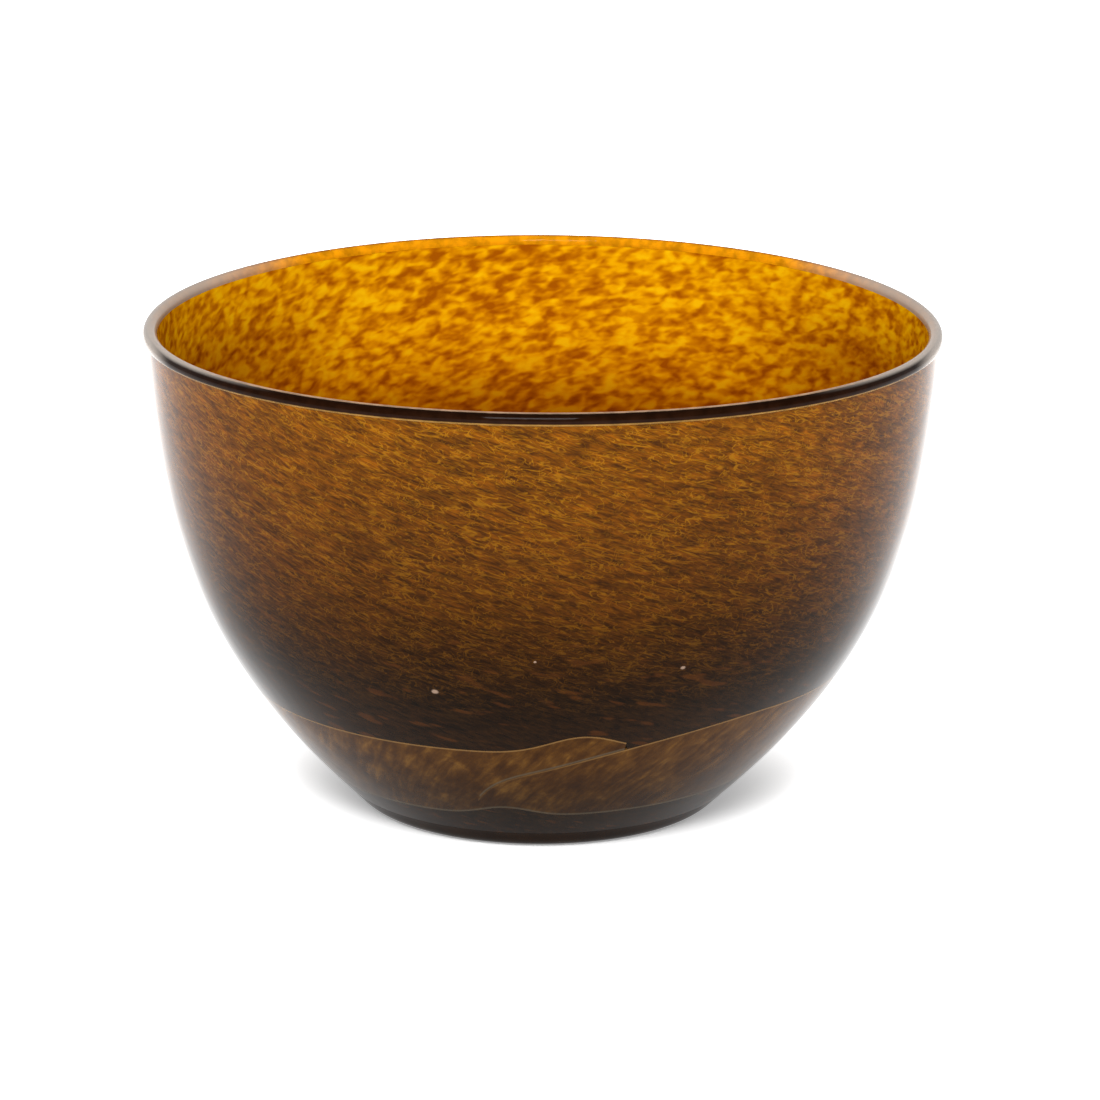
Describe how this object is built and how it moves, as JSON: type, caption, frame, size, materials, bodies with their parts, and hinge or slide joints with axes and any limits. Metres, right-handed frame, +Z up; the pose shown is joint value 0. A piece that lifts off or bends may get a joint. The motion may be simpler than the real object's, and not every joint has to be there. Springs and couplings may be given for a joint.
{
  "type": "art glass bowl",
  "caption": "Deep round blown-glass bowl with a rounded lip, an amber lining, a brown outer casing and a paler ribbon wrapped low round the wall.",
  "frame": {"origin": "centre of the flat underside of the base, on the surface that the bowl stands on", "axes": "+Z up along the bowl's axis; -Y is the front, where the ribbon's tail lies beside its start; +X is to the right as seen from the front"},
  "size_m": [0.2, 0.2, 0.1244],
  "materials": {
    "casing_glass": "fire-polished, streaked brown",
    "amber_frit": "fire-polished, mottled amber",
    "ribbon_glass": "fire-polished, streaked tan",
    "lip_glass": "fire-polished, clear brown",
    "base_glass": "polished dark brown"
  },
  "bodies": {
    "root": {"base_disc": "base_glass", "outer_casing": "casing_glass", "inner_amber_layer": "amber_frit", "ribbon_band": "ribbon_glass", "lip_bead": "lip_glass"}
  },
  "joints": []
}
